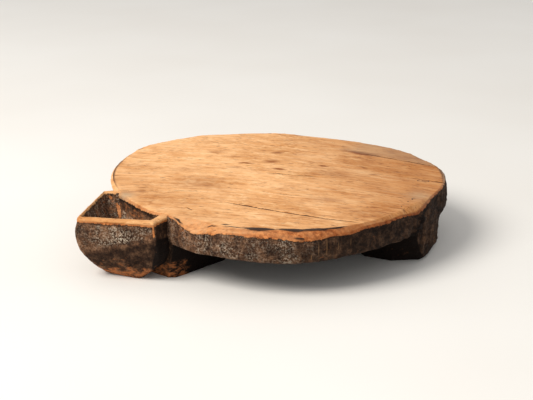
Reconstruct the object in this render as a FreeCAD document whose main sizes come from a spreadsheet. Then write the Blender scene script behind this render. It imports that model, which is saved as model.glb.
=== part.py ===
import FreeCAD, Part
import math
import os
import Sketcher

# Low headrest carved from one block of wood, in millimetres: a thick oval slab on three feet, with a
# hollow cup at its rim. +X is to the right, +Y to the back, +Z up. The origin is the bottom centre of
# the whole object's box, on the surface that it stands on.

DIMENSIONS = (
    # the slab
    ("total_height", 54.0, "standing surface to the flat top"),
    ("slab_thickness", 24.0, "at the rim"),
    ("slab_centre_x", 4.8, "slab centre from the origin"),
    ("slab_centre_y", 3.1, "slab centre from the origin"),
    ("mean_radius", 147.2, "of the hand-cut outline"),
    ("oval_swing", 4.5, "the outline is this much longer along oval_azimuth, and shorter across it"),
    ("oval_azimuth", -36.0, "degrees from +X"),
    ("lobe_swing", 5.0, "three soft lobes"),
    ("lobe_azimuth", 18.0, "degrees from +X, the first lobe"),
    ("facet_swing", 1.8, "four soft lobes"),
    ("facet_azimuth", 14.0, "degrees from +X, the first lobe"),
    ("rim_wear", 3.5, "radius worn onto the top edge"),
    # the cup: distances outwards from the slab's centre along cup_azimuth, and half widths across it
    ("cup_azimuth", -145.0, "degrees from +X"),
    ("cup_root", 118.0, "inner end of the cup's block, under the slab"),
    ("cup_side", 150.5, "where the cup's walls meet the rim"),
    ("cup_side_half", 45.5, "half the cup's width there"),
    ("cup_nose", 195.0, "blunt outer corner of the cup"),
    ("cup_nose_half", 3.0, "half the width of that corner"),
    ("cup_shoulder", 26.0, "height where the cup's wall turns in towards its base"),
    ("cup_bulge", 1.5, "the wall stands this much further out at the shoulder than at the top"),
    ("base_root", 126.0, "inner end of the cup's base"),
    ("base_side", 146.0, "where the base is widest"),
    ("base_side_half", 31.0, "half the base's width there"),
    ("base_nose", 167.0, "outer edge of the base"),
    ("base_nose_half", 13.0, "half the width of that edge"),
    # the hollow in the cup
    ("hollow_floor", 24.0, "height of the hollow's floor"),
    ("mouth_root", 137.0, "inner edge of the hollow's mouth, just inside the rim"),
    ("mouth_side", 150.0, "where the mouth is widest"),
    ("mouth_side_half", 38.5, "half the mouth's width there"),
    ("mouth_nose", 188.0, "outer corner of the mouth"),
    ("mouth_nose_half", 2.0, "half the width of that corner"),
    ("pit_root", 149.0, "inner edge of the hollow's floor, clear of the rim"),
    ("pit_side", 153.0, "where the floor is widest"),
    ("pit_side_half", 24.0, "half the floor's width there"),
    ("pit_nose", 174.0, "outer corner of the floor"),
    ("pit_nose_half", 3.0, "half the width of that corner"),
    # the feet: distances outwards from the slab's centre along the foot's azimuth, and half widths
    ("cup_foot_azimuth", -134.0, "degrees from +X"),
    ("cup_foot_top_root", 70.0, "inner end under the slab"),
    ("cup_foot_top_side", 120.0, "where the top starts to narrow"),
    ("cup_foot_top_side_half", 19.0, "half width there"),
    ("cup_foot_top_nose", 170.0, "past the rim: the slab's outline trims the foot flush"),
    ("cup_foot_top_nose_half", 18.0, "half width there"),
    ("cup_foot_sole_root", 76.0, "inner end on the standing surface"),
    ("cup_foot_sole_side", 135.0, "where the sole starts to narrow"),
    ("cup_foot_sole_side_half", 17.0, "half width there"),
    ("cup_foot_sole_nose", 144.0, "outer end of the sole"),
    ("cup_foot_sole_nose_half", 7.0, "half width there"),
    ("right_foot_azimuth", -22.0, "degrees from +X"),
    ("rear_foot_azimuth", 101.0, "degrees from +X"),
    ("foot_top_root", 84.0, "inner end under the slab, of the right and rear feet"),
    ("foot_top_side", 120.0, "where the top starts to narrow"),
    ("foot_top_side_half", 33.0, "half width there"),
    ("foot_top_nose", 170.0, "past the rim: the slab's outline trims the foot flush"),
    ("foot_top_nose_half", 32.0, "half width there"),
    ("foot_sole_root", 92.0, "inner end on the standing surface"),
    ("foot_sole_side", 118.0, "where the sole starts to narrow"),
    ("foot_sole_side_half", 29.0, "half width there"),
    ("foot_sole_nose", 139.0, "outer end of the sole"),
    ("foot_sole_nose_half", 15.0, "half width there"),
)

OUTLINE_POINTS = 16
SHEET = "Dimensions"
UNDERSIDE = f"{SHEET}.total_height - {SHEET}.slab_thickness"

doc = FreeCAD.newDocument("headrest")


def make_sheet():
    """The driving dimensions, one row each: name, value, what it measures."""
    sheet = doc.addObject("Spreadsheet::Sheet", SHEET)
    for row, (alias, value, note) in enumerate(DIMENSIONS, start=1):
        sheet.set(f"A{row}", alias)
        sheet.set(f"B{row}", str(value))
        sheet.setAlias(f"B{row}", alias)
        sheet.set(f"C{row}", note)
    doc.recompute()
    return sheet


def make_body(name):
    body = doc.addObject("PartDesign::Body", name)
    body.Label = name
    return body


def flat_sketch(body, name, level):
    """A level sketch in the body, at the height that the expression level gives."""
    sketch = body.newObject("Sketcher::SketchObject", name)
    plane = next(f for f in body.Origin.OriginFeatures if f.Role == "XY_Plane")
    sketch.AttachmentSupport = (plane, [""])
    sketch.MapMode = "FlatFace"
    sketch.setExpression("AttachmentOffset.Base.z", level)
    return sketch


def place_body(body, azimuth=None):
    """Put the body's origin under the slab's centre, with its +X turned to point along the azimuth."""
    body.setExpression("Placement.Base.x", f"{SHEET}.slab_centre_x")
    body.setExpression("Placement.Base.y", f"{SHEET}.slab_centre_y")
    if azimuth:
        body.setExpression("Placement.Rotation.Angle", f"{SHEET}.{azimuth}")


def outline_radius(sheet, angle):
    """Radius of the slab's hand-cut outline at an angle in degrees: a circle with soft swings."""
    swings = (
        (2, sheet.oval_swing, sheet.oval_azimuth),
        (3, sheet.lobe_swing, sheet.lobe_azimuth),
        (4, sheet.facet_swing, sheet.facet_azimuth),
    )
    return sheet.mean_radius + sum(
        swing * math.cos(math.radians(lobes * (angle - azimuth))) for lobes, swing, azimuth in swings
    )


def outline_curve(sheet):
    """The slab's outline: one smooth closed curve through evenly spaced points of the formula."""
    points = []
    for step in range(OUTLINE_POINTS):
        angle = 360.0 * step / OUTLINE_POINTS
        radius = outline_radius(sheet, angle)
        turn = math.radians(angle)
        points.append(FreeCAD.Vector(radius * math.cos(turn), radius * math.sin(turn), 0))
    curve = Part.BSplineCurve()
    curve.interpolate(Points=points, PeriodicFlag=True)
    return curve


def make_outline_block(sheet, name, level, height):
    """A body with the slab's outline, from the height level up by height."""
    body = make_body(name)
    sketch = flat_sketch(body, f"{name}_outline", level)
    sketch.addGeometry(outline_curve(sheet), False)
    pad = body.newObject("PartDesign::Pad", f"{name}_pad")
    pad.Profile = sketch
    pad.setExpression("Length", height)
    place_body(body)
    return body


def top_edges(shape):
    """Names of the edges that lie flat at the shape's highest level."""
    top = shape.BoundBox.ZMax
    numbered = enumerate(shape.Edges, start=1)
    return [f"Edge{number}" for number, edge in numbered if edge.BoundBox.ZMin > top - 0.01]


def make_slab(sheet):
    """The slab itself, its top edge worn round."""
    body = make_outline_block(sheet, "headrest_slab", UNDERSIDE, f"{SHEET}.slab_thickness")
    doc.recompute()
    pad = body.Tip
    worn = body.newObject("PartDesign::Fillet", "worn_rim")
    worn.Base = (pad, top_edges(pad.Shape))
    worn.setExpression("Radius", f"{SHEET}.rim_wear")
    return body


def bind_distance(sketch, kind, line, expression):
    """Hold the start of a line at the expression's distance from the sketch's origin."""
    number = sketch.addConstraint(Sketcher.Constraint(kind, -1, 1, line, 1, 10.0))
    sketch.setExpression(f"Constraints[{number}]", expression)


def mirrored_sketch(body, name, level, corners):
    """A closed outline that is symmetric about the body's X axis.

    corners lists its corners on the +Y side, from the inner end outwards: each is an expression for the
    distance along X and one for the half width there.
    """
    sketch = flat_sketch(body, name, level)
    near = [FreeCAD.Vector(10.0 * (i + 1), 10.0, 0) for i in range(len(corners))]
    points = near + [FreeCAD.Vector(p.x, -p.y, 0) for p in reversed(near)]
    count = len(points)
    for i in range(count):
        sketch.addGeometry(Part.LineSegment(points[i], points[(i + 1) % count]), False)
    for i in range(count):
        sketch.addConstraint(Sketcher.Constraint("Coincident", i, 2, (i + 1) % count, 1))
    for i, (along, half) in enumerate(corners):
        sketch.addConstraint(Sketcher.Constraint("Symmetric", i, 1, count - 1 - i, 1, -1))
        bind_distance(sketch, "DistanceX", i, along)
        bind_distance(sketch, "DistanceY", i, half)
    return sketch


def wedge_corners(prefix, further_out=""):
    """The corners of a wedge with a blunt nose, from the sheet's cells that start with prefix."""
    side_half = f"{SHEET}.{prefix}_side_half{further_out}"
    return (
        (f"{SHEET}.{prefix}_root", side_half),
        (f"{SHEET}.{prefix}_side", side_half),
        (f"{SHEET}.{prefix}_nose{further_out}", f"{SHEET}.{prefix}_nose_half"),
    )


def make_loft(body, lowest, *higher):
    """A solid with straight walls from the lowest sketch up through the higher ones."""
    loft = body.newObject("PartDesign::AdditiveLoft", f"{body.Label}_loft")
    loft.Profile = lowest
    loft.Sections = list(higher)
    loft.Ruled = True
    return loft


def make_cup_block():
    """The cup's outside: a small base that flares to a shoulder, then nearly upright walls to the rim."""
    body = make_body("cup_block")
    base = mirrored_sketch(body, "cup_base", "0", wedge_corners("base"))
    bulge = wedge_corners("cup", f" + {SHEET}.cup_bulge")
    shoulder = mirrored_sketch(body, "cup_shoulder_line", f"{SHEET}.cup_shoulder", bulge)
    rim = mirrored_sketch(body, "cup_rim", f"{SHEET}.total_height", wedge_corners("cup"))
    make_loft(body, base, shoulder, rim)
    place_body(body, "cup_azimuth")
    return body


def make_cup_hollow():
    """The space inside the cup, from its small floor to its mouth."""
    body = make_body("cup_hollow")
    pit = mirrored_sketch(body, "hollow_pit", f"{SHEET}.hollow_floor", wedge_corners("pit"))
    mouth = mirrored_sketch(body, "hollow_mouth", f"{SHEET}.total_height", wedge_corners("mouth"))
    make_loft(body, pit, mouth)
    place_body(body, "cup_azimuth")
    return body


def make_foot_block(name, prefix, azimuth):
    """A foot that runs outwards past the rim, and is smaller where it stands."""
    body = make_body(name)
    sole = mirrored_sketch(body, f"{name}_sole", "0", wedge_corners(f"{prefix}_sole"))
    top = mirrored_sketch(body, f"{name}_top", UNDERSIDE, wedge_corners(f"{prefix}_top"))
    make_loft(body, sole, top)
    place_body(body, azimuth)
    return body


def combine(kind, name, base, tool):
    """A Part::Cut or Part::Common of two solids."""
    result = doc.addObject(f"Part::{kind}", name)
    result.Label = name
    result.Base = base
    result.Tool = tool
    return result


def make_side_cup(slab_space):
    """The cup: its block less its hollow and less the slab, which closes its inner side."""
    walls = combine("Cut", "cup_walls", make_cup_block(), make_cup_hollow())
    return combine("Cut", "side_cup", walls, slab_space)


def make_cup_foot(under_slab):
    """The foot behind the cup, trimmed to the slab's outline and butted against the cup."""
    block = make_foot_block("cup_foot_block", "cup_foot", "cup_foot_azimuth")
    trimmed = combine("Common", "cup_foot_trimmed", block, under_slab)
    return combine("Cut", "cup_foot", trimmed, doc.getObject("cup_block"))


def make_rim_foot(name, under_slab):
    """A foot whose outer face is flush with the slab's rim."""
    block = make_foot_block(f"{name}_block", "foot", f"{name}_azimuth")
    return combine("Common", name, block, under_slab)


def check_and_export(subparts):
    """Stop on any failed object or bad shape, then write one STEP file for each sub-part."""
    doc.recompute()
    failed = [o.Name for o in doc.Objects if {"Invalid", "Error"} & set(o.State)]
    if failed:
        raise RuntimeError(f"objects that failed: {failed}")
    for part in subparts:
        shape = part.Shape
        if shape.isNull() or not shape.isValid() or len(shape.Solids) != 1:
            raise RuntimeError(f"{part.Label} isn't one valid solid")
    os.makedirs("parts", exist_ok=True)
    for part in subparts:
        part.Shape.exportStep(f"parts/{part.Label}.step")
        box = part.Shape.optimalBoundingBox(False)
        size = f"{box.XLength:.1f} x {box.YLength:.1f} x {box.ZLength:.1f} mm"
        print(f"{part.Label}: {size}, {part.Shape.Volume / 1000:.1f} cm3")


def main():
    sheet = make_sheet()
    slab = make_slab(sheet)
    slab_space = make_outline_block(sheet, "slab_space", UNDERSIDE, f"{SHEET}.slab_thickness")
    under_slab = make_outline_block(sheet, "under_slab", "0", UNDERSIDE)
    check_and_export((
        slab,
        make_side_cup(slab_space),
        make_cup_foot(under_slab),
        make_rim_foot("right_foot", under_slab),
        make_rim_foot("rear_foot", under_slab),
    ))


main()
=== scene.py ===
import math

import bmesh
import bpy
import numpy as np
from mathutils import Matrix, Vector


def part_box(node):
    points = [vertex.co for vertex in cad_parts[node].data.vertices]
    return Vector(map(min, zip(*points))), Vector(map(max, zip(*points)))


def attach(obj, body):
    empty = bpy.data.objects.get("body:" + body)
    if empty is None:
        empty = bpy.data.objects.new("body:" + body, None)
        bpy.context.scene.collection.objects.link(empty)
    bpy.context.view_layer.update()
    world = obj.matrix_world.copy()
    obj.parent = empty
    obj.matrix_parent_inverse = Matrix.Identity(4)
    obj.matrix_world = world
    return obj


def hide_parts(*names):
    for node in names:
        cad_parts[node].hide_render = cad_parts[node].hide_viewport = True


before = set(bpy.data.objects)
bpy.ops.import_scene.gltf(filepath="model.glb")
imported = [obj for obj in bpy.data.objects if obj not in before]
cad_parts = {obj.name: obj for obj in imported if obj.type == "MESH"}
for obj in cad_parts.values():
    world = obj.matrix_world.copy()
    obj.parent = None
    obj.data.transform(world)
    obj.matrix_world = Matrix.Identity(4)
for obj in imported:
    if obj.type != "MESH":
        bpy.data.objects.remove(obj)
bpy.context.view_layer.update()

MM = 0.001

# ----------------------------------------------------------
# Sizes, in millimetres and degrees. Shapes are worked out about the slab's centre, z up from the floor.
# ----------------------------------------------------------

SLAB_LOW, SLAB_HIGH = (np.array(corner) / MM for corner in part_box("headrest_slab"))
TOP, UNDER = SLAB_HIGH[2], SLAB_LOW[2]

MEAN_RADIUS = 147.2
OUTLINE_SWINGS = ((2, 4.5, -36.0), (3, 5.0, 18.0), (4, 1.8, 14.0))  # lobes, swing, azimuth of a lobe
OUTLINE_BUMPS = (  # azimuth, width, how far out: where the carver strayed from the smooth line
    (142.0, 9.0, 2.6), (108.0, 7.0, -2.4), (86.0, 6.0, 2.2), (21.0, 7.0, -2.4), (-130.0, 4.0, -2.0),
)
RIM_DROPS = (  # azimuth, width, drop: how far down the side the wood is worn light
    (-127.5, 4.0, -3.0), (-117.0, 4.5, 5.6), (-110.5, 2.6, 2.2), (-97.0, 7.0, 0.9), (-81.0, 7.5, 3.6),
    (-67.0, 4.0, 1.9), (-53.0, 5.0, 1.1), (-36.0, 6.0, 4.2), (-22.0, 4.5, -2.4), (-8.0, 12.0, -2.2),
    (60.0, 8.0, 2.0), (100.0, 9.0, 3.0), (140.0, 10.0, 2.0), (-172.0, 12.0, 9.0),
)
RIM_WIDTHS = (  # azimuth, width, how much wider the worn band is there
    (-118.0, 8.0, 8.0), (-104.0, 9.0, 4.0), (-88.0, 10.0, 4.5), (-70.0, 10.0, 2.0), (-40.0, 14.0, 4.0),
)
LOW_EDGES = (  # azimuth, width, how much lower than the underside the side's low edge hangs
    (-86.0, 16.0, 2.0), (-115.0, 6.0, 1.0), (45.0, 25.0, 0.8),
)
CREASE = ((60.0, 87.3), (152.0, 24.0))  # the strip at the back right has split off along this line

CUP_AZIMUTH = -145.0
CUP_FOOT_AZIMUTH = -134.0
RIGHT_FOOT_AZIMUTH = -22.0
REAR_FOOT_AZIMUTH = 101.0
COVERS = (  # azimuth and half width of what stands under the rim
    (RIGHT_FOOT_AZIMUTH, 12.0), (REAR_FOOT_AZIMUTH, 12.0), (-142.0, 16.0),
)
GRAIN_AZIMUTH = -20.0
GRAIN_BEND = 0.00104  # the grain runs level at the far left and turns down towards the right front
GRAIN_START = 140.0


# ----------------------------------------------------------
# Small maths
# ----------------------------------------------------------

def smooth(low, high, x):
    """0 below low, 1 above high, and a smooth step between them."""
    t = np.clip((x - low) / (high - low), 0.0, 1.0)
    return t * t * (3.0 - 2.0 * t)


def shares(count):
    """Even shares from just above 0 up to 1."""
    return np.linspace(0.0, 1.0, count + 1)[1:]


def hump(x, centre, width):
    """1 at the centre, falling off within about the width."""
    return np.exp(-(((x - centre) / width) ** 2))


def turn_between(azimuth, centre):
    """Degrees from centre to azimuth, from -180 to 180."""
    return (azimuth - centre + 180.0) % 360.0 - 180.0


def bell(azimuth, centre, width):
    """1 at the azimuth centre, falling off within about width degrees."""
    return hump(turn_between(azimuth, centre), 0.0, width)


def bells(azimuth, entries):
    """The sum of bells, each with its azimuth, width and amount."""
    return sum(amount * bell(azimuth, centre, width) for centre, width, amount in entries)


def polar(points):
    """Azimuth in degrees and radius of each point about the slab's centre."""
    return np.degrees(np.arctan2(points[:, 1], points[:, 0])), np.hypot(points[:, 0], points[:, 1])


def turned(points, degrees):
    """The points turned about the upright axis."""
    turn = math.radians(degrees)
    x = points[:, 0] * math.cos(turn) - points[:, 1] * math.sin(turn)
    y = points[:, 0] * math.sin(turn) + points[:, 1] * math.cos(turn)
    return np.column_stack((x, y, points[:, 2]))


def along_grain(points):
    """The points moved so that the bending grain runs along X."""
    return points + np.column_stack((
        np.zeros(len(points)), GRAIN_BEND * (points[:, 0] + GRAIN_START) ** 2, np.zeros(len(points))
    ))


def lattice_value(cell, seed):
    """A repeatable random number from -1 to 1 for each lattice cell."""
    mask = np.int64(0xFFFFFFFF)
    mixed = cell[:, 0] * 374761393 + cell[:, 1] * 668265263 + cell[:, 2] * 1440662683 + seed * 982451653
    mixed = (mixed ^ (mixed >> 15)) * 2246822519 & mask
    mixed = (mixed ^ (mixed >> 13)) * 3266489917 & mask
    return ((mixed ^ (mixed >> 16)) & 0xFFFF) / 32767.5 - 1.0


def value_noise(points, seed):
    """Smooth noise from -1 to 1, one cell per unit."""
    cell = np.floor(points).astype(np.int64)
    part = points - cell
    part = part ** 3 * (part * (part * 6.0 - 15.0) + 10.0)
    total = np.zeros(len(points))
    for corner in np.ndindex(2, 2, 2):
        weight = np.prod(np.where(corner, part, 1.0 - part), axis=1)
        total += weight * lattice_value(cell + np.array(corner), seed)
    return total


def rough(points, size, seed, octaves=3, stretch=(1.0, 1.0, 1.0)):
    """Fractal noise from about -1 to 1 whose largest lumps are size millimetres, times stretch."""
    scaled = points / (size * np.array(stretch))
    total = np.zeros(len(points))
    for octave in range(octaves):
        total += value_noise(scaled * 2.0 ** octave + 17.3 * octave, seed + octave) * 0.5 ** octave
    return total


def distance_to(points, start, end):
    """Distance of each point from the line between start and end, and how far along it is, from 0 to 1."""
    start, run = np.array(start), np.array(end) - np.array(start)
    along = np.clip((points - start) @ run / (run @ run), 0.0, 1.0)
    return np.linalg.norm(points - start - along[:, None] * run, axis=1), along


def scoops(points, size, seed):
    """Shallow hollows about size across with ridges between them, as an adze leaves: from 0 to 1."""
    scaled = points / size
    cell = np.floor(scaled).astype(np.int64)
    nearest = np.full(len(points), 9.0)
    for offset in np.ndindex(3, 3, 3):
        there = cell + np.array(offset) - 1
        jitter = np.column_stack([lattice_value(there, seed + axis) for axis in range(3)]) * 0.4 + 0.5
        nearest = np.minimum(nearest, ((there + jitter - scaled) ** 2).sum(axis=1))
    return np.clip(nearest, 0.0, 1.0)


# ----------------------------------------------------------
# The outline and the rim, shared by the slab, the cup and the feet
# ----------------------------------------------------------

def smooth_outline(azimuth):
    swings = (swing * np.cos(np.radians(lobes * (azimuth - lobe))) for lobes, swing, lobe in OUTLINE_SWINGS)
    return MEAN_RADIUS + sum(swings)


def outline_radius(azimuth):
    return smooth_outline(azimuth) + bells(azimuth, OUTLINE_BUMPS)


def outline_centre():
    """The slab's centre in the frame: where the smooth outline's box meets the CAD slab's box."""
    azimuth = np.arange(0.0, 360.0, 0.5)
    x = smooth_outline(azimuth) * np.cos(np.radians(azimuth))
    y = smooth_outline(azimuth) * np.sin(np.radians(azimuth))
    low, high = np.array([x.min(), y.min()]), np.array([x.max(), y.max()])
    return (SLAB_LOW[:2] + SLAB_HIGH[:2] - low - high) / 2.0


CENTRE = outline_centre()


def rim_drop(azimuth):
    """How far below the top the worn light wood ends and the dark skin of the side begins."""
    front = bell(azimuth, -80.0, 50.0)
    return np.clip(2.2 + 1.8 * front + bells(azimuth, RIM_DROPS), 0.6, 14.0)


def rim_width(azimuth):
    """Width of the slanting worn band along the top edge."""
    return 2.2 + bells(azimuth, RIM_WIDTHS)


def lean(azimuth, height):
    """How far the side at the far left draws in below its top edge."""
    start = TOP - 3.0
    return 8.0 * bell(azimuth, 179.0, 17.0) * np.clip((start - height) / (start - UNDER), 0.0, 1.0)


def foot_cover(azimuth):
    """1 where a foot or the cup continues the rim downwards, 0 between them."""
    cover = np.zeros(np.shape(azimuth))
    for centre, half in COVERS:
        cover = np.maximum(cover, 1.0 - smooth(half - 2.0, half + 2.0, np.abs(turn_between(azimuth, centre))))
    return cover


def fissure(points):
    """1 in the deep cleft in the side, just left of the right foot."""
    azimuth, _ = polar(points)
    height = points[:, 2]
    wander = 1.2 * np.sin(height * 0.9)
    return hump(azimuth + 35.5 - (height - 34.0) * 0.25 + wander, 0.0, 1.5) * smooth(50.0, 44.0, height)


def bark(points):
    """How far the rough dark skin of the rim stands out, in millimetres."""
    azimuth, _ = polar(points)
    ridges = rough(points, 5.0, 11, 3, (1.0, 1.0, 5.0))
    lumps = rough(points, 17.0, 12, 2, (1.0, 1.0, 1.5))
    pits = rough(points, 2.4, 13, 2)
    fibrous = 0.3 + bell(azimuth, -20.0, 26.0) + 0.6 * bell(azimuth, 101.0, 30.0)
    knotty = 1.0 + 1.1 * bell(azimuth, -30.0, 26.0)
    return 0.6 * ridges * fibrous + 0.7 * lumps * knotty + 0.30 * pits * knotty - 2.8 * fissure(points)


# ----------------------------------------------------------
# Meshes
# ----------------------------------------------------------

def ring_mesh(name, rings):
    """A closed mesh through the rings, which run from one end to the other, each end closed by a fan."""
    count = len(rings[0])
    points = np.vstack(list(rings) + [rings[0].mean(axis=0)[None], rings[-1].mean(axis=0)[None]])
    faces = []
    for row in range(len(rings) - 1):
        a, b = row * count, (row + 1) * count
        faces += [(a + i, a + (i + 1) % count, b + (i + 1) % count, b + i) for i in range(count)]
    end = len(rings) * count
    faces += [(end, (i + 1) % count, i) for i in range(count)]
    faces += [(end + 1, end - count + i, end - count + (i + 1) % count) for i in range(count)]
    mesh = bpy.data.meshes.new(name)
    mesh.from_pydata(points.tolist(), [], faces)
    return mesh


def mesh_points(mesh):
    points = np.empty(len(mesh.vertices) * 3)
    mesh.vertices.foreach_get("co", points)
    return points.reshape(-1, 3)


def set_points(mesh, points):
    mesh.vertices.foreach_set("co", points.ravel())
    mesh.update()


def push(mesh, distance):
    """Move each point along its normal by distance, in millimetres."""
    normals = np.empty(len(mesh.vertices) * 3)
    mesh.vertex_normals.foreach_get("vector", normals)
    set_points(mesh, mesh_points(mesh) + normals.reshape(-1, 3) * distance[:, None])


def store(mesh, **layers):
    """Keep numbers from 0 to 1 at each point, for the material to read."""
    for name, values in layers.items():
        layer = mesh.attributes.new(name, "FLOAT", "POINT")
        full = np.broadcast_to(np.clip(values, 0.0, 1.0), len(mesh.vertices))
        layer.data.foreach_set("value", full.astype(np.float32))


def place(mesh, node, material):
    """Turn the mesh into metres in the frame and let it stand for its CAD node."""
    points = mesh_points(mesh)
    points[:, :2] += CENTRE
    set_points(mesh, points * MM)
    mesh.polygons.foreach_set("use_smooth", [True] * len(mesh.polygons))
    piece = bpy.data.objects.new(f"carved_{node}", mesh)
    bpy.context.scene.collection.objects.link(piece)
    piece.data.materials.append(material)
    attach(piece, "root")
    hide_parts(node)
    return piece


CORNER_POINTS = 9  # round each corner of a loop


def rounded_loop(corners, radii, steps, height):
    """A closed level loop through the corners, each rounded to its radius, with steps points a side."""
    corners = np.asarray(corners, float)
    count = len(corners)
    arrive, leave = [], []
    for i in range(count):
        back, on = corners[i - 1] - corners[i], corners[(i + 1) % count] - corners[i]
        back, on = back / np.hypot(*back), on / np.hypot(*on)
        half = 0.5 * math.acos(float(np.clip(back @ on, -0.999, 0.999)))
        cut = radii[i] / math.tan(half)
        arrive.append(corners[i] + back * cut)
        leave.append(corners[i] + on * cut)
    loop = []
    for i in range(count):
        for t in np.linspace(0.0, 1.0, CORNER_POINTS):  # a parabola is close enough to an arc
            loop.append((1 - t) ** 2 * arrive[i] + 2 * t * (1 - t) * corners[i] + t * t * leave[i])
        start, end = leave[i], arrive[(i + 1) % count]
        loop += [start + (end - start) * t for t in np.linspace(0.0, 1.0, steps[i] + 2)[1:-1]]
    loop = np.array(loop)
    return np.column_stack((loop, np.full(len(loop), float(height))))


def shaped(profile, height):
    """The corners of a profile at a height, smoothed over a few millimetres up and down."""
    heights = np.array([row[0] for row in profile])
    corners = np.array([row[1] for row in profile])
    flat = corners.reshape(len(profile), -1)
    reach = min(5.0, height - heights[0], heights[-1] - height)
    around = height + reach * np.array([-1.0, -0.5, 0.0, 0.5, 1.0])
    return np.array([np.interp(around, heights, column).mean() for column in flat.T]).reshape(-1, 2)


def shrink(loop, share, height=None):
    """The loop drawn in towards its middle."""
    middle = loop.mean(axis=0)
    smaller = middle + (loop - middle) * share
    if height is not None:
        smaller[:, 2] = height
    return smaller


# ----------------------------------------------------------
# Marks on the wood. A line is its start, end, half width and strength.
# ----------------------------------------------------------

CRACKS = (  # dark grooves in the top
    ((-46.0, -71.0), (12.0, -101.5), 1.4, 0.9), ((-2.0, -95.0), (38.0, -114.3), 1.5, 1.0),
    ((22.0, -107.2), (71.0, -127.3), 1.3, 0.9), ((-12.0, 13.2), (20.0, 3.8), 1.5, 0.9),
    ((8.0, 7.2), (42.0, -2.5), 1.3, 0.9), ((-139.0, -44.0), (-86.0, -42.0), 1.0, 0.7),
    ((-100.0, -42.5), (-60.0, -43.0), 0.7, 0.5), ((79.0, 75.2), (122.0, 46.2), 2.0, 1.0),
    ((98.0, 62.7), (152.5, 23.5), 1.9, 1.0), ((136.0, -15.5), (153.0, -24.0), 1.6, 0.9),
    ((45.0, -73.0), (83.0, -88.0), 0.8, 0.6), ((-74.0, -86.0), (-68.0, -95.0), 0.9, 0.5),
    ((-4.0, -5.0), (33.0, -8.5), 0.7, 0.4), ((-11.0, -46.5), (31.0, -57.0), 0.8, 0.45),
    ((88.0, -84.0), (112.0, -96.0), 0.7, 0.5), ((40.0, -40.0), (76.0, -50.0), 0.7, 0.4),
)
DARK_STREAKS = (  # dark lines, most of them along the front edge
    ((-60.0, -128.0), (-42.0, -134.0), 0.9, 0.6), ((-44.0, -132.5), (-22.0, -140.0), 1.5, 0.8),
    ((-32.0, -137.5), (6.0, -143.6), 3.6, 1.0), ((-27.0, -139.6), (2.0, -143.2), 4.8, 1.0),
    ((-4.0, -141.4), (30.0, -143.9), 4.2, 1.0), ((-46.0, -129.0), (-34.0, -131.0), 2.2, 0.55),
    ((12.0, -143.5), (47.0, -139.6), 3.4, 1.0), ((30.0, -142.4), (60.0, -133.4), 1.9, 1.0),
    ((-85.0, -109.0), (-70.5, -125.0), 1.9, 0.62), ((-70.0, -128.5), (-56.0, -138.0), 1.4, 0.7),
    ((8.0, -149.9), (32.0, -150.6), 1.5, 1.0),
    ((115.5, -64.0), (115.0, -69.0), 1.0, 0.8), ((111.0, -72.0), (111.0, -74.5), 1.2, 1.0),
    ((104.0, -84.0), (104.5, -88.0), 1.0, 0.6), ((-56.0, -61.0), (-56.0, -65.0), 0.5, 0.5),
)
SMUDGES = (  # soft brown stains, the short ones beside old knots
    ((-36.0, 43.5), (-17.0, 39.5), 3.8, 1.5), ((-12.0, 48.0), (6.0, 44.5), 7.0, 1.0),
    ((-5.0, 26.5), (12.5, 19.5), 3.8, 1.7), ((38.0, 36.0), (51.0, 29.0), 3.0, 1.4),
    ((-67.0, 77.5), (-47.0, 75.5), 5.5, 0.55), ((-45.0, 63.5), (-30.0, 60.5), 4.5, 0.55),
    ((-45.0, 29.5), (-27.0, 28.5), 4.0, 0.6), ((-120.0, -34.0), (-109.0, -35.0), 3.2, 0.7),
    ((-121.0, -43.0), (-110.0, -42.0), 4.0, 0.7), ((83.0, 7.0), (95.0, 1.0), 4.2, 0.8),
    ((77.0, 32.0), (87.0, 19.0), 3.0, 0.7), ((95.0, 38.5), (101.0, 36.0), 4.0, 0.6),
    ((61.0, -16.0), (70.0, -18.0), 3.0, 0.7), ((49.0, -87.5), (66.0, -90.0), 2.6, 0.7),
    ((76.0, -85.5), (86.0, -88.0), 2.0, 0.8), ((3.0, -98.0), (13.0, -101.5), 3.4, 1.0),
    ((-94.0, -8.0), (-34.0, -32.0), 24.0, 0.55), ((-72.0, -22.0), (-48.0, -34.0), 11.0, 0.5),
    ((60.0, 87.0), (104.0, 58.0), 7.5, 1.5), ((-131.0, 82.0), (-125.0, 89.0), 2.0, 0.9),
    ((-5.0, 76.0), (11.0, 77.5), 5.0, 0.9),
    ((20.0, -60.0), (60.0, -74.0), 11.0, 0.35), ((26.0, 24.0), (84.0, -10.0), 17.0, 0.35),
    ((-100.0, 20.0), (-60.0, 14.0), 10.0, 0.3), ((-143.0, 40.0), (-141.0, 46.0), 2.0, 0.9),
)
KNOT = ((130.5, -15.0), 6.0, 3.4)  # middle, half length along the grain, half width
SCRATCHES = (  # upright pale scratches on the side: azimuth, low and high z, half width
    (-77.3, 33.0, 46.5, 0.35), (-74.7, 32.5, 49.0, 0.45), (-66.8, 38.0, 46.0, 0.25),
    (-79.5, 30.0, 36.0, 0.5), (-71.0, 36.0, 45.0, 0.25),
)
GROOVE_DEPTH = 1.3


def groove_depth(points, wider=0.0):
    """Depth of the cracks at each point, each crack made wider all round by the given amount."""
    depth = np.zeros(len(points))
    for start, end, half_width, strength in CRACKS:
        start, end = np.array(start), np.array(end)
        middle, half = (start + end) / 2.0, (end - start) / 2.0
        length = np.hypot(*half)
        along = half / length
        offset = points[:, :2] - middle
        u, v = offset @ along, offset @ np.array([-along[1], along[0]])
        inside = 1.0 - np.hypot(u / (length + wider), v / (half_width + wider))
        depth = np.maximum(depth, GROOVE_DEPTH * strength * np.sqrt(np.clip(inside, 0.0, 1.0)))
    return depth


# ----------------------------------------------------------
# The slab
# ----------------------------------------------------------

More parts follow.
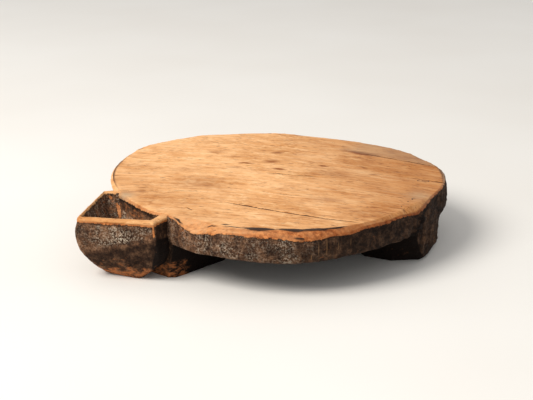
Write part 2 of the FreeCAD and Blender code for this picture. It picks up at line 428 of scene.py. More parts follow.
SLAB_STEPS = 648  # points round each ring
TOP_RINGS, BAND_RINGS, SIDE_RINGS, UNDER_RINGS = 51, 10, 20, 14


def top_lift(points):
    """The flat top, dished by wear, with soft ripples and a split-off strip at the back right."""
    _, radius = polar(points)
    flat = points * (1, 1, 0)
    dish = 1.0 - (radius / MEAN_RADIUS) ** 2
    ripple = 0.3 * rough(along_grain(flat), 22.0, 21, 2, (2.4, 1.0, 1.0))
    return ripple - dish - 0.3 * beyond_crease(points)


def beyond_crease(points):
    """1 on the strip at the back right, outside the crease."""
    start, end = np.array(CREASE)
    along = (end - start) / np.hypot(*(end - start))
    offset = points[:, :2] - start
    side = offset @ np.array([-along[1], along[0]])
    return smooth(-0.8, 1.2, side) * smooth(-5.0, 22.0, offset @ along)


def slab_rings():
    """Rings from the middle of the top, out over the rim and back to the middle of the underside."""
    azimuth = np.arange(SLAB_STEPS) * 360.0 / SLAB_STEPS
    across = np.column_stack((np.cos(np.radians(azimuth)), np.sin(np.radians(azimuth))))
    radius = outline_radius(azimuth)
    ragged = rough(np.column_stack((across * 150.0, np.zeros(SLAB_STEPS))), 9.0, 41, 3)
    width, drop = rim_width(azimuth), rim_drop(azimuth) + 0.5 * ragged
    slope = np.minimum(drop, 1.0 + 0.75 * width)
    low_round = 1.4 * (1.0 - foot_cover(azimuth)) + 0.05
    bottom = UNDER - bells(azimuth, LOW_EDGES)
    rings = []

    def ring(r, z):
        rings.append(np.column_stack((across * np.reshape(r, (-1, 1)), np.broadcast_to(z, SLAB_STEPS))))

    for share in shares(TOP_RINGS) ** 0.92:
        ring((radius - width) * share, TOP)
    for share in shares(BAND_RINGS):
        ring(radius - width * (1.0 - share), TOP - slope * share ** 1.4)
    high, low = TOP - slope, bottom + low_round
    for share in shares(SIDE_RINGS):
        height = high + (low - high) * share
        ring(radius + 0.8 * math.sin(math.pi * share) - lean(azimuth, height), height)
    radius = radius - lean(azimuth, low)
    for turn in np.radians((22.0, 45.0, 68.0, 90.0)):
        ring(radius - low_round * (1.0 - math.cos(turn)), low - low_round * math.sin(turn))
    for share in np.linspace(1.0, 0.02, UNDER_RINGS + 1)[1:]:
        hang = np.clip(1.0 - (1.0 - share) * 5.0, 0.0, 1.0)
        ring((radius - low_round) * share, UNDER + (bottom - UNDER) * hang)
    return rings


def refine_near_cracks(mesh):
    """Split the faces of the top beside the cracks twice, so that the cracks have clean sides."""
    work = bmesh.new()
    work.from_mesh(mesh)
    for wider in (2.6, 1.2):
        centres = np.array([face.calc_center_median()[:] for face in work.faces])
        near = (groove_depth(centres, wider) > 0.0) & (centres[:, 2] > TOP - 3.0)
        edges = [edge for face, keep in zip(work.faces, near) if keep for edge in face.edges]
        edges = list(dict.fromkeys(edges))
        bmesh.ops.subdivide_edges(work, edges=edges, cuts=1, use_grid_fill=True)
    work.to_mesh(mesh)
    work.free()


def worn_level(above):
    """The worn layer, from the millimetres above the line where the bare wood begins: 0.5 is that line."""
    return 0.5 + above / 20.0


def make_slab(material):
    mesh = ring_mesh("slab", slab_rings())
    refine_near_cracks(mesh)
    points = mesh_points(mesh)
    azimuth, radius = polar(points)
    width, drop = rim_width(azimuth), rim_drop(azimuth)
    z = points[:, 2].copy()
    inside_rim = outline_radius(azimuth) - radius - lean(azimuth, z)

    on_top = smooth(-0.12, -0.02, z - TOP)
    under = (1.0 - smooth(UNDER - 1.0, UNDER + 1.5, z)) * smooth(0.6, 3.0, inside_rim)
    on_side = (1.0 - on_top) * (1.0 - under) * smooth(-2.5, -0.5, -inside_rim)
    on_band = np.clip(1.0 - on_top - under - on_side, 0.0, 1.0)

    upper = smooth(UNDER + 6.0, TOP - 1.0, z)
    grooves = groove_depth(points) * on_top
    points[:, 2] += top_lift(points) * upper - grooves
    set_points(mesh, points)

    below = smooth(0.0, 5.0, TOP - drop - z)
    skin = on_side * below * bark(points)
    chips = 0.35 * rough(points, 5.0, 51, 3) * (on_band + on_side * (1.0 - below))
    adzed = 1.1 * scoops(along_grain(points) / (2.2, 1.0, 1.0), 15.0, 52) + 0.5 * rough(points, 9.0, 53, 3)
    push(mesh, skin + chips - under * adzed)

    # millimetres above the torn line, and on over the band and the top
    above = z - (TOP - drop) + np.clip(inside_rim, 0.0, 8.0) * (on_band + on_top)
    above = np.where(under > 0.5, -6.0, above)

    # the bare torn wood: a broad chamfer at the front, a narrow line elsewhere
    chamfer = np.maximum(bell(azimuth, -86.0, 34.0), 0.85 * bell(azimuth, -117.0, 13.0))
    chamfer *= 1.0 - smooth(-0.8, 1.0, inside_rim - width)
    edge = np.maximum(chamfer, 1.0 - smooth(1.4, 4.2, above)) * (1.0 - under)
    front_right, front_left = bell(azimuth, -65.0, 22.0), bell(azimuth, -118.0, 16.0)
    pale_rim = np.maximum(bell(azimuth, -175.0, 25.0), bell(azimuth, 4.0, 17.0))
    edge *= np.clip(0.8 + 0.4 * front_right - 0.20 * front_left - 0.6 * pale_rim, 0.0, 1.0)

    # the dark skin: crusted at the front, fibrous at the right and the back; painted shade darkens the right
    # and back sides
    in_cup = 1.0 - smooth(11.0, 15.0, np.abs(turn_between(azimuth, -148.0)))
    brink = hump(above, 0.0, 3.0)
    back = bell(azimuth, 100.0, 60.0)
    crusted = 0.08 + 0.42 * bell(azimuth, -106.0, 20.0) + 0.6 * bell(azimuth, -86.5, 4.0)
    fibrous = 0.2 + 0.7 * bell(azimuth, -35.0, 38.0) + 0.6 * bell(azimuth, -121.0, 7.0) + 0.6 * back
    sooted = 0.93 * np.maximum(bell(azimuth, -53.0, 42.0), bell(azimuth, -20.0, 30.0)) + 0.35 * back
    beside_cup = bell(azimuth, -121.5, 5.0) * smooth(38.0, 47.0, z)
    store(
        mesh,
        worn=worn_level(above),
        edge=edge,
        speck=crusted * (1.0 - under - in_cup),
        fibre=fibrous * (1.0 - under),
        # painted shade under the slab, on its right and back sides, in the cleft and at the torn line inside
        # the cup
        soot=under + sooted + in_cup * brink + on_side * fissure(points),
        rubbed=0.62 * in_cup * (1.0 - brink) + 0.62 * beside_cup,
        grey=on_top * 0.34 * beyond_crease(points) + rim_grey(azimuth, inside_rim) + top_grey(points),
        # painted shade along a low lip at the far left and far right
        dark_line=rim_lip_shade(azimuth, inside_rim),
    )
    return place(mesh, "headrest_slab", material)


def rim_lip_shade(azimuth, inside_rim):
    """The thin dark line that follows the rim at the far left and the far right: painted shade of a low lip
    there.
    """
    left, right = bell(azimuth, 176.0, 21.0), bell(azimuth, 3.0, 12.0)
    line = (left + 0.8 * right) * hump(inside_rim, 2.6, 0.8)
    return line + 0.5 * right * hump(inside_rim, 0.3, 1.0)


def rim_grey(azimuth, inside_rim):
    """The weathered outer edge of the top at the far right."""
    return 0.8 * bell(azimuth, 2.0, 12.0) * (1.0 - smooth(1.5, 2.6, inside_rim))


def top_grey(points):
    """Two weathered patches: beside the cup, and near the right rim."""
    cup_patch = hump(points[:, 0], -128.0, 8.0) * hump(points[:, 1], -55.0, 9.0)
    right_patch = hump(points[:, 0], 122.0, 11.0) * hump(points[:, 1], -58.0, 16.0)
    return 0.7 * cup_patch + 0.45 * right_patch


# ----------------------------------------------------------
# The cup. Its corners are given along and across the azimuth of its nose, in this order: inner right,
# front right, nose, back left, inner left.
# ----------------------------------------------------------

CUP_OUTSIDE = (
    (0.0, ((126, 10), (155, 29), (168.5, 1.5), (146, -27), (128, -24))),
    (2.0, ((126, 12), (155.5, 31), (175, 1), (145.5, -31), (126, -26))),
    (8.0, ((124, 20), (151, 36.5), (182, 0.5), (145, -37), (124, -32))),
    (13.0, ((122, 28), (147, 42), (187, 0.5), (145, -40.5), (122, -36))),
    (19.0, ((120, 32), (146, 45), (191.5, 0.5), (145.5, -43.5), (120, -39))),
    (27.0, ((118, 33), (147.5, 46.3), (197, 0.5), (146, -46.5), (118, -41))),
    (40.0, ((118, 33), (150.8, 47), (200, 0.5), (146.8, -48.5), (118, -42))),
    (49.0, ((118, 33), (152, 47), (198.2, 0.5), (146.5, -49), (118, -42))),
    (54.0, ((118, 33), (151.5, 46), (196.2, 0.5), (145.8, -48.5), (118, -42))),
)
CUP_INSIDE = (
    (24.0, ((150, 10), (152, 22), (174, 0), (151, -24), (149, -12))),
    (34.0, ((145, 20), (151, 30), (181, 0), (149, -33), (145, -24))),
    (44.0, ((137, 28), (149.5, 36.5), (189, -0.9), (146.8, -42.6), (139, -34))),
    (54.0, ((130, 28), (149.5, 38.5), (191.7, -1.1), (146.7, -46.0), (130, -35))),
)
CUP_SIDE_STEPS = (40, 104, 110, 34, 60)  # points on the side after each corner
CUP_STREAKS = (  # bare streaks inside the cup: start, end, half width, how much wider at the end
    ((140.8, -37.3, 48.0), (142.0, -24.5, 34.0), 0.9, 1.5),
    ((146.0, -43.0, 52.5), (143.5, -40.5, 49.0), 1.3, 0.4),
)


def cup_loop(profile, height, radii):
    """The cup's outline at a height, its outer corners rounder towards the base."""
    low = 1.0 - smooth(3.0, 14.0, height)
    radii = np.array(radii) + low * np.array((0.0, 5.0, 3.0, 1.0, 0.0))
    loop = rounded_loop(shaped(profile, height), radii, CUP_SIDE_STEPS, height)
    return turned(loop, CUP_AZIMUTH)


def cup_rings():
    """Rings from the middle of the base up the outside, over the rim and down into the hollow.

    Returns the rings and how many of them are outside."""
    outer_radii, inner_radii = (1.0, 1.6, 4.0, 2.0, 1.0), (1.0, 1.5, 2.0, 1.2, 1.0)
    base = cup_loop(CUP_OUTSIDE, 0.0, outer_radii)
    rings = [shrink(base, share) for share in (0.15, 0.4, 0.65, 0.85, 0.96)]
    for height in np.concatenate(([0.0, 0.5], np.arange(1.3, TOP - 1.0, 0.95))):
        rings.append(cup_loop(CUP_OUTSIDE, height, outer_radii))
    outer = cup_loop(CUP_OUTSIDE, TOP, outer_radii)
    inner = cup_loop(CUP_INSIDE, TOP, inner_radii)
    outside = len(rings) + 3
    for share in np.linspace(0.06, 0.94, 8):
        rim = outer + (inner - outer) * share
        rim[:, 2] = TOP - 1.3 * abs(2.0 * share - 1.0) ** 3 - 0.2
        rings.append(rim)
    floor = CUP_INSIDE[0][0]
    for height in np.arange(TOP - 1.2, floor, -1.1):
        rings.append(cup_loop(CUP_INSIDE, height, inner_radii))
    bottom = cup_loop(CUP_INSIDE, floor, inner_radii)
    rings += [shrink(bottom, share, floor - 1.2 * (1.0 - share)) for share in (0.95, 0.8, 0.6, 0.4, 0.2)]
    return rings, outside


def make_cup(material):
    rings, outside = cup_rings()
    mesh = ring_mesh("cup", rings)
    points = mesh_points(mesh)
    outer = (np.arange(len(points)) < outside * len(rings[0])).astype(float)
    azimuth, radius = polar(points)
    local = turned(points, -CUP_AZIMUTH)
    outward, across = local[:, 0], local[:, 1]

    # where the walls run into the slab, the rim dips out of sight
    hidden = smooth(1.5, 5.0, outline_radius(azimuth) - radius)
    points[:, 2] -= 4.5 * hidden * smooth(TOP - 8.0, TOP - 2.0, points[:, 2])
    set_points(mesh, points)

    z = points[:, 2]
    free = smooth(0.0, 3.0, z) * (1.0 - 0.6 * smooth(TOP - 5.0, TOP - 2.0, z))
    facets = scoops(points / (1.0, 1.0, 0.8), 17.0, 64) * outer
    lumps = 0.5 * rough(points, 13.0, 61, 2) + 0.3 * rough(points, 3.6, 62, 3)
    slant = 0.36 * (across - 12.0)  # the ridge across the front wall climbs to the right
    lower_right = smooth(0.0, 4.0, 27.0 + slant - z) * smooth(-15.0, 10.0, across)
    push(mesh, free * (lumps - facets * (1.0 - lower_right) - 0.8 * lower_right * outer + 0.45))

    ragged = rough(points, 6.0, 63, 3)
    front_right = hump(outward, 151.8, 1.2) * hump(across, 46.8, 1.0) * smooth(38.0, 42.0, z) * outer
    rim_edge = np.where(outer > 0.5, z - (TOP - 4.2), z - (TOP - 1.8)) + 0.4 * ragged
    flakes = np.where(outer > 0.5, -9.0, 5.0 * rough(points, 6.0, 65, 3, (1.0, 1.0, 1.8)) - 4.6)
    above = np.maximum(np.maximum(rim_edge, flakes), front_right * 7.0 - 3.5)
    for start, end, half_width, spread in CUP_STREAKS:
        gap, along = distance_to(local, start, end)
        bare = 3.0 * (1.0 - gap / (half_width + spread * along)) - 9.0 * outer
        above = np.maximum(above, bare)
    front_base = smooth(142.0, 150.0, outward) * smooth(42.0, 30.0, across)
    crusted = 0.26 + 0.74 * hump(across, 28.0, 12.0) * hump(z, 38.0, 10.0)
    speck = outer * smooth(24.0, 31.0, z - slant) * crusted
    store(
        mesh,
        worn=worn_level(above),
        edge=np.where(z > TOP - 2.5, 0.15, 0.8),
        speck=speck * (1.0 - right_wall(outward, across)) + 0.5 * (1.0 - outer),
        fibre=np.where(outer > 0.5, 0.25, 1.0),
        # painted shade: the short right wall and the lower right facet, which faces down, are darkened
        soot=outer * (0.8 * right_wall(outward, across) + 0.75 * lower_right * smooth(6.0, 13.0, z)),
        grey=0.0,
        dark_line=0.0,
        rubbed=outer * smooth(24.0, 3.0, z) * (0.35 + 0.65 * front_base) + 0.32 * (1.0 - outer),
    )
    return place(mesh, "side_cup", material)


def right_wall(outward, across):
    """1 on the short wall between the cup's front right corner and the slab, 0 elsewhere."""
    return smooth(0.0, 2.0, 150.5 - outward) * smooth(20.0, 30.0, across)


# ----------------------------------------------------------
# The feet. Corners along and across each foot's azimuth: inner left and right, then the outer ones.
# ----------------------------------------------------------

CUP_FOOT = (
    (0.0, ((77, 17), (135, 17), (144, 7), (144, -7), (135, -15), (77, -17))),
    (12.0, ((74, 18), (130, 18), (156, 11), (158, -12), (130, -18), (74, -18))),
    (30.0, ((70, 19), (120, 19), (170, 17), (170, -18), (120, -19), (70, -19))),
)
RIM_FOOT = (
    (0.0, ((92, 27), (118, 29), (140, 17), (140, -17), (118, -29), (92, -27))),
    (5.0, ((90, 28), (119, 30), (146, 20), (146, -20), (119, -30), (90, -28))),
    (30.0, ((84, 31), (120, 33), (170, 32), (170, -32), (120, -33), (84, -31))),
)
FOOT_SIDE_STEPS = (40, 26, 40, 26, 40, 60)
FOOT_CORNER_RADII = (4.0, 4.0, 3.0, 3.0, 4.0, 4.0)
FOOT_PROUD = 0.15  # how far a foot stands out of the slab's side, so that it covers it


def foot_rings(profile, azimuth, inset):
    """Rings from the middle of the sole up the sides, close to the rim, and into the slab."""
    def trimmed(height, tuck=0.0):
        corners = shaped(profile, min(height, UNDER))
        loop = turned(rounded_loop(corners, FOOT_CORNER_RADII, FOOT_SIDE_STEPS, height), azimuth)
        turn, radius = polar(loop)
        drawn_in = tuck + inset(turn) * (1.0 - smooth(UNDER, UNDER + 2.0, height))
        limit = outline_radius(turn) + FOOT_PROUD - drawn_in
        loop[:, :2] *= np.minimum(1.0, limit / radius)[:, None]
        return loop

    sole = trimmed(0.0)
    rings = [shrink(sole, share) for share in (0.1, 0.3, 0.5, 0.7, 0.86, 0.96)]
    rings += [trimmed(height) for height in np.concatenate(([0.0, 0.5], np.arange(1.3, UNDER + 4.5, 0.95)))]
    rings += [trimmed(UNDER + 5.0, tuck) for tuck in (1.5, 6.0)]
    rings += [shrink(rings[-1], share) for share in (0.6, 0.2)]
    return rings


def flush(turn):
    """The inset of a foot that stands flush with the rim."""
    return np.zeros(np.shape(turn))


def right_inset(turn):
    """The right foot draws in behind the rim towards its back."""
    return 3.0 * smooth(-27.0, -12.0, turn)


def make_foot(node, profile, azimuth, inset, rubbed, seed, material):
    mesh = ring_mesh(node, foot_rings(profile, azimuth, inset))
    points = mesh_points(mesh)
    turn, radius = polar(points)
    on_rim = smooth(-1.2, -0.2, radius + inset(turn) - outline_radius(turn))
    z = points[:, 2]
    free = smooth(0.0, 2.5, z)
    carved = 1.2 * scoops(points, 13.0, seed) - 0.6 * rough(points, 8.0, seed + 3, 3)
    push(mesh, free * (on_rim * bark(points) - (1.0 - on_rim) * carved))
    store(
        mesh,
        worn=0.0,
        edge=0.0,
        speck=0.1,
        fibre=0.2 + 0.7 * on_rim,
        # painted shade: the feet stand in shade under the slab, their inner sides darkest
        soot=0.78 + 0.22 * (1.0 - on_rim),
        grey=0.0,
        dark_line=0.0,
        rubbed=rubbed * smooth(22.0, 4.0, z) * smooth(114.0, 134.0, radius),
    )
    return place(mesh, node, material)


# ----------------------------------------------------------
# Material
# ----------------------------------------------------------

MARK_DEPTH = 0.009  # metres that a mark on the top reaches up and down
SCRATCH_DEPTH = 0.006  # metres that a scratch on the side reaches in and out


def tint(red, green, blue):
    """A colour given in display values from 0 to 255."""
    def linear(value):
        value /= 255.0
        return value / 12.92 if value <= 0.04045 else ((value + 0.055) / 1.055) ** 2.4
    return linear(red), linear(green), linear(blue), 1.0


class Tree:
    """A short way to add shader nodes: inputs are plain values or sockets to link."""

    def __init__(self, tree):
        self.tree = tree

    def feed(self, socket, value):
        if isinstance(value, bpy.types.NodeSocket):
            self.tree.links.new(value, socket)
        else:
            socket.default_value = value

    def add(self, kind, out=0, settings=None, numbered=(), **inputs):
        node = self.tree.nodes.new(kind)
        for name, value in (settings or {}).items():
            setattr(node, name, value)
        for index, value in enumerate(numbered):
            self.feed(node.inputs[index], value)
        for name, value in inputs.items():
            self.feed(node.inputs[name], value)
        return node.outputs[out]

    def maths(self, operation, *values):
        return self.add("ShaderNodeMath", settings={"operation": operation}, numbered=values)

    def plus(self, a, b):
        return self.maths("ADD", a, b)

    def times(self, a, b):
        return self.maths("MULTIPLY", a, b)

    def vector(self, operation, *values, out=0):
        return self.add("ShaderNodeVectorMath", out=out, settings={"operation": operation}, numbered=values)

    def parts(self, where):
        """The x, y and z of a place."""
        node = self.tree.nodes.new("ShaderNodeSeparateXYZ")
        self.feed(node.inputs[0], where)
        return node.outputs

    def span(self, value, low, high, to_low=0.0, to_high=1.0):
        """value carried from low..high to to_low..to_high, and held at the ends."""
        return self.add("ShaderNodeMapRange", numbered=(value, low, high, to_low, to_high))

    def mix(self, share, a, b, blend="MIX"):
        node = self.tree.nodes.new("ShaderNodeMix")
        node.data_type, node.blend_type = "RGBA", blend
        for index, value in ((0, share), (6, a), (7, b)):
            self.feed(node.inputs[index], value)
        return node.outputs[2]

    def wash(self, colour, source, low, high, most, shade, within=None):
        """The colour with shade laid on as source nears high, up to the share most."""
        share = self.span(source, low, high, 0.0, most)
        if within is not None:
            share = self.times(within, share)
        return self.mix(share, colour, tint(*shade))

    def blend(self, share, a, b):
        """A number between a and b."""
        node = self.tree.nodes.new("ShaderNodeMix")
        for index, value in ((0, share), (2, a), (3, b)):
            self.feed(node.inputs[index], value)
        return node.outputs[0]

    def ramp(self, value, *stops):
        """A colour ramp: stops are (position, colour in display values)."""
        node = self.tree.nodes.new("ShaderNodeValToRGB")
        points = node.color_ramp.elements
        while len(points) < len(stops):
            points.new(0.5)
        for point, (position, colour) in zip(points, stops):
            point.position = position
            point.color = tint(*colour)
        self.feed(node.inputs[0], value)
        return node.outputs[0]

    def noise(self, where, scale, detail=4.0, roughness=0.55, distortion=0.0, out=0):
        return self.add("ShaderNodeTexNoise", out=out, Vector=where, Scale=scale, Detail=detail,
                        Roughness=roughness, Distortion=distortion)

    def frame_of(self, where, middle, half_sizes, degrees=0.0):
        """Coordinates about a middle, turned, in units of the half sizes (all in metres)."""
        node = self.tree.nodes.new("ShaderNodeMapping")
        node.vector_type = "TEXTURE"
        node.inputs["Location"].default_value = middle
        node.inputs["Rotation"].default_value = (0.0, 0.0, math.radians(degrees))
        node.inputs["Scale"].default_value = half_sizes
        self.feed(node.inputs["Vector"], where)
        return node.outputs[0]

    def grained(self, bent, along, across):
        """Coordinates along the bent grain, in cells of these lengths."""
        return self.frame_of(bent, (0.0, 0.0, 0.0), (along, across, across))

    def bend(self, where):
        """The same bending of the grain as along_grain, in metres."""
        x, y, z = self.parts(where)
        past = self.plus(x, GRAIN_START * MM - CENTRE[0] * MM)
        drop = self.times(self.times(past, past), GRAIN_BEND / MM)
        return self.add("ShaderNodeCombineXYZ", numbered=(x, self.plus(y, drop), z))

    def strongest(self, values):
        total = values[0]
        for value in values[1:]:
            total = self.maths("MAXIMUM", total, value)
        return total

    def attribute(self, name):
        return self.add("ShaderNodeAttribute", out=2, settings={"attribute_name": name})


def frame_point(x, y, z=TOP):
    """A place about the slab's centre, in metres in the frame."""
    return (x + CENTRE[0]) * MM, (y + CENTRE[1]) * MM, z * MM


def lens_mark(tree, where, middle, half_sizes, degrees, strength, softness):
    """The strength within an ellipsoid, fading over the last part of it."""
    length = tree.vector("LENGTH", tree.frame_of(where, middle, half_sizes, degrees), out=1)
    return tree.span(length, 1.0 - softness, 1.0, strength, 0.0)


def line_marks(tree, where, entries, softness):
    """Marks on the top from a start to an end."""
    marks = []
    for (x1, y1), (x2, y2), half_width, strength in entries:
        middle = frame_point((x1 + x2) / 2.0, (y1 + y2) / 2.0)
        half_length = math.hypot(x2 - x1, y2 - y1) / 2.0
        degrees = math.degrees(math.atan2(y2 - y1, x2 - x1))
        sizes = (half_length * MM, half_width * MM, MARK_DEPTH)
        marks.append(lens_mark(tree, where, middle, sizes, degrees, strength, softness))
    return tree.strongest(marks)


def scratch_marks(tree, where):
    """Upright marks on the side."""
    marks = []
    for azimuth, low, high, half_width in SCRATCHES:
        radius = float(outline_radius(np.array([azimuth]))[0])
        x, y = radius * math.cos(math.radians(azimuth)), radius * math.sin(math.radians(azimuth))
        middle = frame_point(x, y, (low + high) / 2.0)
        sizes = (SCRATCH_DEPTH, half_width * MM, (high - low) / 2.0 * MM)
        marks.append(lens_mark(tree, where, middle, sizes, azimuth, 0.5, 0.5))
    return tree.strongest(marks)


def knot_rings(tree, where):
    """Dark rings round the knot."""
    (x, y), half_length, half_width = KNOT
    sizes = (half_length * MM, half_width * MM, MARK_DEPTH)
    length = tree.vector("LENGTH", tree.frame_of(where, frame_point(x, y), sizes, GRAIN_AZIMUTH), out=1)
    wave = tree.maths("SINE", tree.times(length, 9.0))
    return tree.times(tree.span(wave, 0.2, 0.9), tree.span(length, 0.9, 1.3, 0.8, 0.0))


def worn_wood(tree, where, wavy):
    """The light worn wood: golden, clouded with brown, with long grain, short crinkles and old marks."""
    bent, wavy_bent = tree.bend(where), tree.bend(wavy)
    clouds = tree.noise(tree.grained(wavy_bent, 0.050, 0.034), 1.0, 4.0, 0.55, 0.5)
    streaks = tree.noise(tree.grained(wavy_bent, 0.036, 0.0042), 1.0, 6.0, 0.62, 0.3)
    blotches = tree.noise(tree.grained(wavy_bent, 0.014, 0.0095), 1.0, 5.0, 0.62, 0.5)
    crinkles = tree.noise(tree.grained(wavy_bent, 0.0080, 0.0036), 1.0, 3.0, 0.62, 0.9)
    fine = tree.noise(tree.grained(bent, 0.024, 0.0021), 1.0, 3.0, 0.6)
    pores = tree.noise(tree.grained(bent, 0.0075, 0.0014), 1.0, 2.0, 0.5)

    colour = tree.ramp(streaks, (0.32, (218, 157, 100)), (0.50, (232, 178, 123)), (0.68, (240, 193, 142)))
    colour = tree.wash(colour, clouds, 0.42, 0.66, 0.55, (208, 146, 84))
    colour = tree.wash(colour, blotches, 0.52, 0.72, 0.50, (186, 122, 66))
    colour = tree.wash(colour, blotches, 0.45, 0.28, 0.45, (251, 214, 166))
    # the crinkles: darker and paler flecks, part grain colour and part painted shade and highlight of their
    # small relief
    crinkled = tree.span(clouds, 0.42, 0.58, 0.25, 1.0)
    colour = tree.wash(colour, crinkles, 0.46, 0.32, 0.60, (168, 106, 56), crinkled)
    colour = tree.wash(colour, crinkles, 0.56, 0.68, 0.45, (253, 218, 168), crinkled)
    colour = tree.wash(colour, fine, 0.44, 0.31, 0.48, (166, 104, 58))
    colour = tree.wash(colour, pores, 0.38, 0.29, 0.80, (106, 60, 32))

    smudges = line_marks(tree, wavy, SMUDGES, 0.8)
    smudges = tree.times(smudges, tree.span(blotches, 0.40, 0.55, 0.65, 1.0))
    colour = tree.mix(smudges, colour, tint(146, 84, 34))
    return colour, clouds, streaks, fine, crinkles


def torn_edge(tree, where, streaks, grit):
    """The orange wood bared along the rim, browner towards the right."""
    colour = tree.ramp(grit, (0.34, (104, 52, 24)), (0.50, (172, 100, 52)), (0.64, (214, 142, 84)))
    colour = tree.wash(colour, streaks, 0.42, 0.62, 0.30, (236, 174, 118))
    return tree.wash(colour, tree.parts(where)[0], 0.015, 0.070, 0.42, (122, 62, 28))


def stain_and_painted_shade(tree, where, clouds):
    """How much the bare wood is browned: more at the right and a little at the left, in uneven clouds. The
    gradient is partly browner wood and partly painted shade, darker where less light falls.
    """
    x, y, _ = tree.parts(where)
    right = tree.span(x, -0.005, 0.120, 0.0, 0.68)
    leftward = tree.plus(tree.times(x, -0.7), tree.times(y, -0.5))
    left = tree.span(leftward, 0.035, 0.095, 0.0, 0.26)
    return tree.plus(tree.plus(right, left), tree.span(clouds, 0.3, 0.7, -0.10, 0.12))


def dark_wood(tree, where):
    """The aged skin: brown-black, crusted grey-white in places, with paler upright fibres, and darkened by
    painted shade.
    """
    patches = tree.noise(where, 140.0, 6.0, 0.74)
    crust = tree.noise(where, 680.0, 4.0, 0.75)
    spread = tree.noise(where, 105.0, 4.0, 0.65)
    upright = tree.frame_of(where, (0.0, 0.0, 0.0), (1.0, 1.0, 6.0))
    level = tree.frame_of(where, (0.0, 0.0, 0.0), (2.2, 2.2, 1.0))
    fibres = tree.noise(upright, 420.0, 4.0, 0.62)
    fibre, speck, soot = (tree.attribute(name) for name in ("fibre", "speck", "soot"))

    colour = tree.ramp(patches, (0.36, (47, 30, 21)), (0.50, (92, 64, 46)), (0.64, (144, 106, 78)))
    colour = tree.wash(colour, crust, 0.50, 0.36, 0.80, (24, 14, 10))
    colour = tree.wash(colour, fibres, 0.50, 0.68, 0.75, (128, 86, 56), fibre)

    # grey-white specks in loose groups, and all over where the layer is strongest
    amount = tree.times(speck, tree.span(spread, 0.42, 0.60, 0.08, 1.0))
    amount = tree.strongest((amount, tree.span(speck, 0.55, 1.0, 0.0, 0.9)))
    colour = tree.wash(colour, crust, 0.50, 0.58, 1.0, (218, 203, 180), amount)

    # bare flecks where the skin is rubbed through, which the painted shade covers only a little
    flecks = tree.times(tree.plus(tree.noise(level, 300.0, 5.0, 0.75), -0.5), 9.0)
    rubbed = tree.plus(tree.span(tree.attribute("rubbed"), 0.0, 1.0, -1.2, 0.6), flecks)
    rubbed = tree.span(rubbed, -0.1, 1.3, 0.0, 0.9)
    colour = tree.mix(rubbed, colour, tint(184, 112, 64))
    clean = tree.maths("SUBTRACT", 1.0, tree.times(rubbed, 0.8))
    # painted shade: near-black where it is full, a little patchy elsewhere
    full = tree.span(soot, 0.90, 0.98)
    sooty = tree.times(soot, tree.strongest((tree.span(patches, 0.42, 0.62, 1.0, 0.78), full)))
    colour = tree.mix(tree.times(sooty, clean), colour, tint(20, 11, 7))
    colour = tree.mix(scratch_marks(tree, where), colour, tint(150, 112, 74))
    return colour, patches, crust, fibres


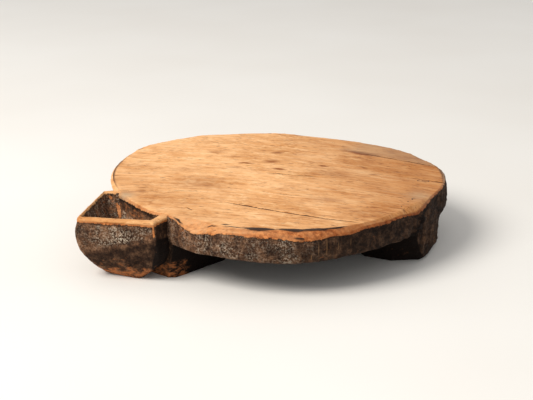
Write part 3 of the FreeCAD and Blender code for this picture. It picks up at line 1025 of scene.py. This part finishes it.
def carved_wood():
    """Old carved wood: light where it is worn, orange at the torn edges, brown-black elsewhere."""
    material = bpy.data.materials.new("carved_wood")
    material.use_nodes = True
    tree = Tree(material.node_tree)
    shader = material.node_tree.nodes["Principled BSDF"]
    where = tree.add("ShaderNodeTexCoord", out=3)

    drift = tree.vector("SUBTRACT", tree.noise(where, 110.0, 3.0, 0.6, out=1), (0.5, 0.5, 0.5))
    drift = tree.vector("MULTIPLY", drift, (0.005, 0.005, 0.0))
    wavy = tree.vector("ADD", where, drift)
    gentle = tree.vector("ADD", where, tree.vector("MULTIPLY", drift, (0.3, 0.3, 0.0)))

    light, clouds, streaks, fine, crinkles = worn_wood(tree, where, wavy)
    dark, patches, crust, fibres = dark_wood(tree, where)
    grit = tree.noise(where, 330.0, 6.0, 0.7)

    # shift makes the edge of every zone and mark ragged
    shift = tree.times(tree.plus(grit, -0.5), 0.22)
    worn = tree.plus(tree.attribute("worn"), shift)
    bare = tree.span(worn, 0.488, 0.510)
    orange = tree.span(tree.plus(tree.attribute("edge"), tree.times(shift, 2.0)), 0.15, 0.85)
    colour = tree.mix(orange, light, torn_edge(tree, where, streaks, grit))
    # partly stain, partly painted shade: the top darkens towards the right and the front left
    colour = tree.mix(stain_and_painted_shade(tree, where, clouds), colour, tint(172, 128, 30), "MULTIPLY")
    colour = tree.mix(tree.attribute("grey"), colour, tint(158, 136, 110))
    # painted shadow: the dark skin just below the torn line is darkened, as under an overhanging edge
    colour = tree.mix(bare, tree.wash(dark, worn, 0.425, 0.485, 0.60, (22, 14, 10)), colour)
    dark_streaks = tree.plus(line_marks(tree, gentle, DARK_STREAKS, 0.8), tree.times(shift, 3.0))
    colour = tree.wash(colour, dark_streaks, 0.22, 0.50, 0.95, (34, 25, 22))
    # the painted shade of the rim's low lip is darkened together with the cracks and the knot's rings
    lines = (line_marks(tree, gentle, CRACKS, 0.35), tree.attribute("dark_line"), knot_rings(tree, wavy))
    lines = tree.plus(tree.strongest(lines), tree.times(shift, 1.5))
    colour = tree.wash(colour, lines, 0.15, 0.65, 0.95, (70, 38, 18))
    tree.feed(shader.inputs["Base Color"], colour)

    light_gloss = tree.span(streaks, 0.3, 0.7, 0.66, 0.50)
    dark_gloss = tree.span(patches, 0.3, 0.7, 0.92, 0.70)
    tree.feed(shader.inputs["Roughness"], tree.blend(bare, dark_gloss, light_gloss))
    shader.inputs["Specular IOR Level"].default_value = 0.12

    grain_relief = tree.plus(tree.times(fine, 0.15), tree.times(streaks, 0.15))
    grain_relief = tree.plus(grain_relief, tree.times(crinkles, 0.30))
    edge_relief = tree.times(grit, tree.span(orange, 0.0, 1.0, 0.0, 0.9))
    dark_relief = tree.plus(tree.times(patches, 2.2), tree.times(crust, 1.5))
    dark_relief = tree.plus(dark_relief, tree.times(fibres, 0.8))
    relief = tree.blend(bare, dark_relief, tree.plus(grain_relief, edge_relief))
    bump = tree.add("ShaderNodeBump", Strength=0.6, Distance=0.0013, Height=relief)
    tree.feed(shader.inputs["Normal"], bump)
    return material


# ----------------------------------------------------------
# Stage, light and camera
# ----------------------------------------------------------

KEY_AT = (-1.35, -0.75, 1.65)  # the lamp, in metres, aimed at the origin
KEY_SIZE = 1.35
KEY_POWER = 51.0
FILL_STRENGTH = 0.65
CAMERA_BACK = 1024.7  # from the slab's centre
CAMERA_LEFT = 7.4
CAMERA_HEIGHT = 373.6
CAMERA_PITCH = 18.5
LENS, FILM_WIDTH = 81.05, 36.0


def make_floor():
    mesh = bpy.data.meshes.new("floor")
    far = 30.0
    corners = [(-far, -far, 0.0), (far, -far, 0.0), (far, far, 0.0), (-far, far, 0.0)]
    mesh.from_pydata(corners, [], [(0, 1, 2, 3)])
    floor = bpy.data.objects.new("floor", mesh)
    bpy.context.scene.collection.objects.link(floor)
    material = bpy.data.materials.new("floor_paper")
    material.use_nodes = True
    tree = Tree(material.node_tree)
    where = tree.add("ShaderNodeTexCoord", out=3)
    paper = tree.ramp(tree.noise(where, 3.0, 2.0), (0.3, (224, 220, 214)), (0.7, (228, 225, 220)))
    shader = material.node_tree.nodes["Principled BSDF"]
    tree.feed(shader.inputs["Base Color"], paper)
    tree.feed(shader.inputs["Roughness"], 0.9)
    floor.data.materials.append(material)


def make_light():
    world = bpy.data.worlds.new("studio")
    world.use_nodes = True
    world.node_tree.nodes["Background"].inputs["Color"].default_value = (1.0, 1.0, 1.0, 1.0)
    world.node_tree.nodes["Background"].inputs["Strength"].default_value = FILL_STRENGTH
    bpy.context.scene.world = world
    light = bpy.data.lights.new("key", "AREA")
    light.shape, light.size, light.energy, light.color = "DISK", KEY_SIZE, KEY_POWER, (1.0, 0.97, 0.92)
    lamp = bpy.data.objects.new("key", light)
    lamp.location = KEY_AT
    lamp.rotation_euler = (-Vector(KEY_AT)).to_track_quat("-Z", "Y").to_euler()
    bpy.context.scene.collection.objects.link(lamp)


def make_camera():
    data = bpy.data.cameras.new("camera")
    data.lens, data.sensor_width, data.clip_end = LENS, FILM_WIDTH, 200.0
    camera = bpy.data.objects.new("camera", data)
    camera.location = frame_point(-CAMERA_LEFT, -CAMERA_BACK, CAMERA_HEIGHT)
    camera.rotation_euler = (math.radians(90.0 - CAMERA_PITCH), 0.0, 0.0)
    bpy.context.scene.collection.objects.link(camera)
    bpy.context.scene.camera = camera


def main():
    bpy.context.scene.view_settings.view_transform = "Standard"
    make_camera()
    make_light()
    make_floor()
    wood = carved_wood()
    make_slab(wood)
    make_cup(wood)
    make_foot("cup_foot", CUP_FOOT, CUP_FOOT_AZIMUTH, flush, 1.3, 71, wood)
    make_foot("right_foot", RIM_FOOT, RIGHT_FOOT_AZIMUTH, right_inset, 0.12, 81, wood)
    make_foot("rear_foot", RIM_FOOT, REAR_FOOT_AZIMUTH, flush, 0.3, 91, wood)


main()
